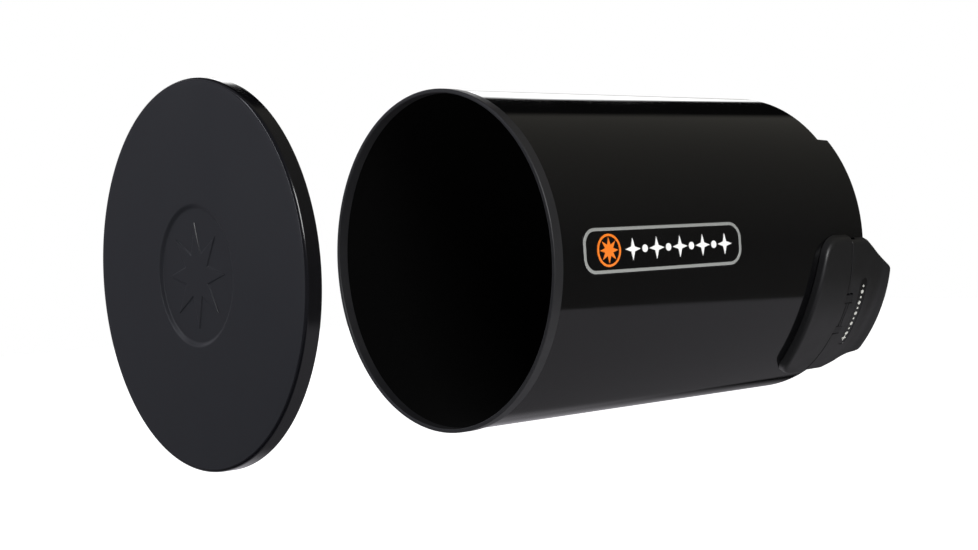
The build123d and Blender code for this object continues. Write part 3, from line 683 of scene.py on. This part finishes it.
far = np.append(INSETS, [5, 6, 7.5])
near_label = [(side * LABEL_END, 2.4, 0.3) for side in (-1, 1)]
near_slot = [(side * SLOT_HALF, 0.5, 0.1) for side in (-1, 1)]
across = lines(-LEVER_HALF, LEVER_HALF, 1.5, *near_label, *near_slot)
across = np.unique(np.concatenate([across, edge_lines(-LEVER_HALF, LEVER_HALF, INSETS)]))
rows = lines(LEVER_FRONT, LEVER_REAR, 1.2, (LABEL_Y, LABEL_RADIUS + 0.6, 0.3))
rows = np.unique(np.concatenate([rows, LEVER_FRONT + INSETS, LEVER_REAR - far]))
slot = 1 - step(np.abs(across), SLOT_HALF, 0.3)
start = (LEVER_FRONT + (SLOT_END - LEVER_FRONT) * slot)[:, None]
end = lever_rear(across)[:, None]
near_rows = start + (rows - LEVER_FRONT) * (FIXED_ROW - start) / (FIXED_ROW - LEVER_FRONT)
far_rows = FIXED_ROW + (rows - FIXED_ROW) * (end - FIXED_ROW) / (LEVER_REAR - FIXED_ROW)
y = np.where(rows < FIXED_ROW, near_rows, far_rows)
z = np.broadcast_to(across[:, None], y.shape)

from_edge = distance_to(y, z, lever_outline)
front_line = np.stack([start[:, 0], across], axis=1)
from_front = distance_to(y, z, front_line)
# each step is (place, width): the back sags, drops behind the label, turns up at the lip and ends lower
lift = -0.4 * step(y, 17, 25) - step(y, 37, 12) + 2.3 * step(y, 48.5, 8) - 0.5 * step(y, 53.6, 2.4)
# a shallow hollow in front of the label, which fades out to both sides
dish = 0.9 * step(y, 5.5, 4) * (1 - step(y, 17, 16)) * (1 - step(np.abs(z), 26, 16))
edge_round = 2.2 - 1.4 * step(y, 42, 12)
top = LATCH_TOP + lift - dish - rounding(from_edge, edge_round) - rounding(from_front, CREASE_ROUND)
past_label = np.hypot(np.maximum(np.abs(z) - LABEL_HALF + LABEL_RADIUS, 0), y - LABEL_Y) - LABEL_RADIUS
top = top + (LABEL_FLOOR - top) * (1 - step(past_label, 0, 0.35))
skirt = (1 - step(from_edge, SKIRT_WALL, 0.5)) * (1 - step(y, 45, 2)) * step(y, SLOT_END, 0.8)
bottom = LATCH_TOP - PLATE_WALL - 0.8 * step(y, 30, 30) + 2.6 * step(y, 50, 9) - SKIRT_DEPTH * skirt
lever = plate_between("lever_moulding", y, z, top, bottom)
settle(lever, "lever", "latch_plastic", latch_black, "latch_lever")

# %% [markdown]
# ## The tongue and its cam
# The lever turns on a knuckle in its middle, and the cam under the knuckle presses the shoe. For a flat
# shoe that has to move in step with the lever, the cam's outline comes from its support distance s, which
# falls evenly with the turn t: x = -s cos t - r sin t, y = -s sin t + r cos t, where r is the rate of fall.

# %% Tongue
PIN_OUT = math.hypot(hinge["pos_m"][0], hinge["pos_m"][2])
slide = next(j for j in frame["joints"] if j["name"] == "shoe_slide")
OPENING = math.radians(hinge["range_deg"][1])
RATE, SHUT = slide["range_m"][1] / OPENING, 3.95 * MM
KNUCKLE, TONGUE_HALF, TONGUE_TOP, TONGUE_END, CAM_FLAT = 2.6 * MM, 10 * MM, 2.9 * MM, 4.5 * MM, 3.2 * MM
turn = np.linspace(0, OPENING, 12)
support = SHUT - RATE * turn
cam = [-support * np.cos(turn) - RATE * np.sin(turn), -support * np.sin(turn) + RATE * np.cos(turn)]
cam = np.stack(cam, axis=1)
swing = np.radians(np.linspace(-85, 0, 10))
knuckle = KNUCKLE * np.stack([np.cos(swing), np.sin(swing)], axis=1)
block = [(TONGUE_TOP, 0), (TONGUE_TOP, TONGUE_END), (-KNUCKLE, TONGUE_END), (-KNUCKLE, CAM_FLAT),
         (-SHUT, CAM_FLAT)]
side = np.concatenate([cam, knuckle, block])
places = np.array([-1, -1, -0.97, 0.97, 1, 1]) * TONGUE_HALF
sizes = np.array([0, 0.97, 1, 1, 0.97, 0])
x = PIN_OUT + sizes[:, None] * side[:, 0]
y = PIN_Y + sizes[:, None] * side[:, 1]
z = np.broadcast_to(places[:, None], x.shape)
points = np.stack([x * math.cos(LATCH_TURN) - z * math.sin(LATCH_TURN), y,
                   x * math.sin(LATCH_TURN) + z * math.cos(LATCH_TURN)], axis=-1)
tongue = make_piece("lever_tongue", points, quads(*points.shape[:2], wrap_columns=True), sharp=30)
settle(tongue, "lever", "latch_plastic", latch_black)

# %% [markdown]
# ## Finishes of the small parts
# The hinge bracket, screws, pin, clips, springs and shoe are plain machined, pressed or moulded parts, so
# their solids stay as they are and only get their material.

# %% Materials on the solids that stay
label_film, tree, shader = new_finish("satin_black_label_film", "#09090a", Roughness=0.3, IOR=1.5)
vary(tree, shader, "Roughness", 0.26, 0.36, size_mm=9)

finishes = {
    "badge_emblem": orange, "badge_marks": white_ink,
    "lever_label": label_film, "lever_label_marks": label_ink,
    "hinge_bracket": filled_nylon, "latch_gasket": rubber, "latch_backing_plate": oxide_steel,
    "latch_screws": oxide_steel, "hinge_pin": bright_steel, "pin_clips": oxide_steel,
    "return_springs": bright_steel, "clamp_shoe": filled_nylon, "shoe_pad": rubber,
}
for node, material in finishes.items():
    for place in frame["nodes"][node].material_slots:
        place.material = material
print("solids kept:", ", ".join(finishes))

# %% [markdown]
# ## Floor and surroundings
# The floor is plain and white, and lies well below, so it takes no hard shadow. It glows, which hides
# where it ends, and it is left out of reflections. The tube is a dark mirror, and what it shows is
# its surroundings. So the backdrop that the eye sees is white, and the surroundings that reflections see
# are set by direction: dim and warm above, dim and cool below and brighter low down behind, grey in
# front, and one white sweep behind that draws the bright strip along the top of the tube.

# %% Floor and world
low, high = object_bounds()
FLOOR_DROP, FLOOR_HALF = 0.26, 6.0
floor_mesh = bpy.data.meshes.new("floor")
floor_corners = [(-1, -1), (1, -1), (1, 1), (-1, 1)]
floor_points = [(x * FLOOR_HALF, y * FLOOR_HALF, low.z - FLOOR_DROP) for x, y in floor_corners]
floor_mesh.from_pydata(floor_points, [], [(0, 1, 2, 3)])
floor = bpy.data.objects.new("floor", floor_mesh)
bpy.context.scene.collection.objects.link(floor)
floor.visible_glossy = False
paper, tree, shader = new_finish("white_paper_floor", "#f4f4f4", Roughness=0.9, Specular_IOR_Level=0.1)
shader.inputs["Emission Color"].default_value = linear("#ffffff")
shader.inputs["Emission Strength"].default_value = 1.0
floor_mesh.materials.append(paper)


def part_way(tree, value, low, high, at_low=0.0, at_high=1.0):
    """A value carried from one range to another, and held at its ends."""
    way = add(tree, "MapRange", Value=value, From_Min=low, From_Max=high, To_Min=at_low, To_Max=at_high)
    return way.outputs["Result"]


def times(tree, a, b):
    """Two values multiplied."""
    return add(tree, "Math", {"operation": "MULTIPLY"}, _0=a, _1=b).outputs[0]


def blend_of(tree, share, a, b):
    """Colour a, turning into colour b as the share goes from 0 to 1."""
    return add(tree, "Mix", {"data_type": "RGBA"}, _0=share, _6=a, _7=b).outputs[2]


world = bpy.data.worlds.new("studio")
bpy.context.scene.world = world
world.use_nodes = True
tree = world.node_tree
tree.nodes.clear()
way = add(tree, "SeparateXYZ", Vector=add(tree, "TexCoord").outputs["Generated"])
east, north, up = way.outputs["X"], way.outputs["Y"], way.outputs["Z"]

# every range is a part of the direction's X, Y or Z, from -1 to 1
upper = times(tree, part_way(tree, up, 0, 0.75, 0.075, 0.17), part_way(tree, east, -0.33, -0.27, 0.03, 1))
upper = blend_of(tree, upper, linear("#000000"), linear("#fffbee"))
lower = part_way(tree, east, -0.45, 0.62, 0.13, 0.46)
lower = blend_of(tree, lower, linear("#000000"), linear("#fbf8ff"))
behind = blend_of(tree, part_way(tree, up, -0.45, -0.43), lower, upper)
sweep = times(tree, part_way(tree, east, -0.55, -0.585), part_way(tree, up, 0.5, 0.45))
sweep = times(tree, sweep, part_way(tree, up, -0.16, -0.1))
sweep_colour = blend_of(tree, part_way(tree, up, 0.18, 0.3), linear("#c4c4c2"), linear("#ffffff"))
behind = blend_of(tree, sweep, behind, sweep_colour)
glow = times(tree, part_way(tree, east, -0.5, -0.8, 0, 0.6), part_way(tree, up, -0.05, -0.15))
behind = blend_of(tree, glow, behind, linear("#fbf8ff"))
in_front = blend_of(tree, part_way(tree, up, -0.6, -0.3), linear("#141518"), linear("#6a6a71"))
surroundings = blend_of(tree, part_way(tree, north, -0.1, 0.1), in_front, behind)
bright = times(tree, sweep, part_way(tree, up, 0.18, 0.3, 0.1, 1))
strength = part_way(tree, bright, 0, 1, 1, 3)
seen_by_light = add(tree, "Background", Color=surroundings, Strength=strength)
seen_by_eye = add(tree, "Background", Color=linear("#ffffff"), Strength=1.0)
eye = add(tree, "LightPath").outputs["Is Camera Ray"]
both = add(tree, "MixShader", _0=eye, _1=seen_by_light.outputs[0], _2=seen_by_eye.outputs[0])
add(tree, "OutputWorld", Surface=both.outputs[0])
print("floor", round(FLOOR_DROP * 1000), "mm below the object")

# %% [markdown]
# ## Lights
# Two soft boxes. A tall narrow one stands in front and a little to the left, and draws the thin bright
# line round the cap's edge. A square one to the right lights the latch and the badge.

# %% Soft boxes
from mathutils import Quaternion, Vector

centre = (low + high) / 2


def soft_box(name, width, height, distance, azimuth, elevation, power, color):
    """A rectangular area light, aimed at the object. Azimuth 0 is in front, and 90 is to the right."""
    lamp = bpy.data.lights.new(name, "AREA")
    lamp.shape, lamp.size, lamp.size_y = "RECTANGLE", width, height
    lamp.energy, lamp.color = power, linear(color)[:3]
    box = bpy.data.objects.new(name, lamp)
    bpy.context.scene.collection.objects.link(box)
    turn, rise = math.radians(azimuth), math.radians(elevation)
    way = Vector((math.sin(turn) * math.cos(rise), -math.cos(turn) * math.cos(rise), math.sin(rise)))
    box.location = centre + way * distance
    box.rotation_euler = (-way).to_track_quat("-Z", "Y").to_euler()
    return box


soft_box("rim_strip", 0.16, 1.5, 2.0, -30, 22, 4, "#f4f6ff")
soft_box("side_key", 0.9, 0.9, 2.2, 62, 28, 30, "#ffffff")

# %% [markdown]
# ## Camera
# The camera stands to the front right, almost level and turned a little about its own axis, with a short
# telephoto lens.

# %% Camera
AIM = Vector((0.0003, -0.2540, -0.0118))
AZIMUTH, ELEVATION, ROLL, DISTANCE = math.radians(49.33), math.radians(1.08), math.radians(2.94), 1.1457
level_part = math.cos(ELEVATION)
way = Vector((math.sin(AZIMUTH) * level_part, -math.cos(AZIMUTH) * level_part, math.sin(ELEVATION)))
lens = bpy.data.cameras.new("camera")
lens.lens, lens.sensor_width = 58.9, 36
camera = bpy.data.objects.new("camera", lens)
bpy.context.scene.collection.objects.link(camera)
camera.location = AIM + way * DISTANCE
level = (-way).to_track_quat("-Z", "Y")
camera.rotation_euler = (level @ Quaternion((0, 0, 1), -ROLL)).to_euler()
bpy.context.scene.camera = camera
bpy.context.scene.view_settings.view_transform = "Standard"
